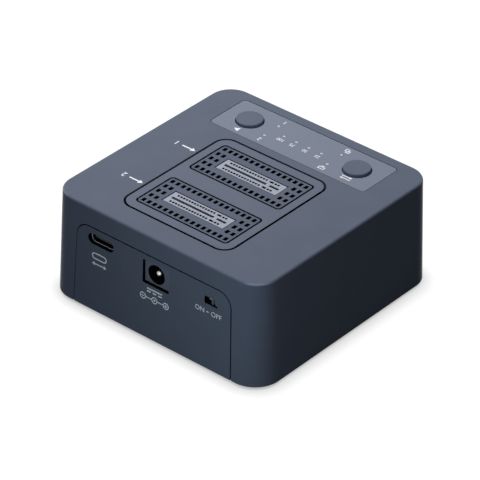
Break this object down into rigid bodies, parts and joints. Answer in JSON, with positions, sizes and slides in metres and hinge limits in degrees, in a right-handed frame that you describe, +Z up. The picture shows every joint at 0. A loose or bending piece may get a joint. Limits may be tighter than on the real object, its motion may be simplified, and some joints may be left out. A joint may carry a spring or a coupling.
{
  "type": "drive docking station",
  "caption": "Low drafted square drive dock with upright card sockets in vent grilles, a control strip with push buttons and lights, and a rear data port, power inlet and slide switch.",
  "frame": {"origin": "under the middle of the case, on the surface that the feet stand on", "axes": "+Z up, +Y towards the rear panel with the ports, +X towards the data port's side of the rear panel"},
  "size_m": [0.08, 0.08, 0.0359],
  "materials": {
    "case_plastic": "fine satin texture, blue grey",
    "insert_plastic": "fine satin texture, blue grey",
    "grille_plastic": "fine satin texture, dark blue grey",
    "overlay_film": "smooth satin film, lighter blue grey",
    "clear_plastic": "clear, milky",
    "button_plastic": "satin, blue grey",
    "black_plastic": "moulded black",
    "plunger_plastic": "moulded tan",
    "board_laminate": "green solder mask",
    "lamp_plastic": "clear epoxy",
    "socket_plastic": "moulded pale grey",
    "contact_metal": "gold plated",
    "inductor_ferrite": "matt ferrite",
    "can_metal": "drawn can",
    "screw_steel": "zinc plated",
    "panel_plastic": "fine satin texture, blue grey",
    "port_steel": "nickel plated sheet",
    "pin_metal": "nickel plated pin",
    "lever_plastic": "moulded black",
    "cover_plastic": "fine satin texture, dark blue grey",
    "dark_steel": "blackened",
    "foot_rubber": "matt"
  },
  "bodies": {
    "housing": {"top_shell": "case_plastic", "bay_insert": "insert_plastic", "source_grille": "grille_plastic", "target_grille": "grille_plastic", "control_overlay": "overlay_film", "light_pipe": "clear_plastic", "start_switch_body": "black_plastic", "mode_switch_body": "black_plastic", "main_board": "board_laminate", "status_lamps": "lamp_plastic", "source_socket": "socket_plastic", "target_socket": "socket_plastic", "source_contacts": "contact_metal", "target_contacts": "contact_metal", "controller_chips": "black_plastic", "power_inductors": "inductor_ferrite", "capacitors": "can_metal", "crystals": "can_metal", "board_screws": "screw_steel", "port_panel": "panel_plastic", "data_port_shell": "port_steel", "data_port_tongue": "black_plastic", "data_port_contacts": "contact_metal", "inlet_body": "black_plastic", "inlet_pin": "pin_metal", "inlet_spring": "contact_metal", "slide_switch_body": "black_plastic", "slide_switch_plate": "port_steel", "bottom_cover": "cover_plastic", "cover_screws": "dark_steel", "rubber_feet": "foot_rubber"},
    "start_key": {"start_button": "button_plastic", "start_switch_plunger": "plunger_plastic"},
    "mode_key": {"mode_button": "button_plastic", "mode_switch_plunger": "plunger_plastic"},
    "power_lever": {"slide_switch_lever": "lever_plastic"}
  },
  "joints": [
    {"name": "start_button_press", "type": "slide", "parent": "housing", "child": "start_key", "axis": [0, 0, -1], "range_m": [0, 0.0004], "stiffness_N_per_m": 1500},
    {"name": "mode_button_press", "type": "slide", "parent": "housing", "child": "mode_key", "axis": [0, 0, -1], "range_m": [0, 0.0004], "stiffness_N_per_m": 1500},
    {"name": "power_switch_slide", "type": "slide", "parent": "housing", "child": "power_lever", "axis": [1, 0, 0], "range_m": [0, 0.002]}
  ]
}
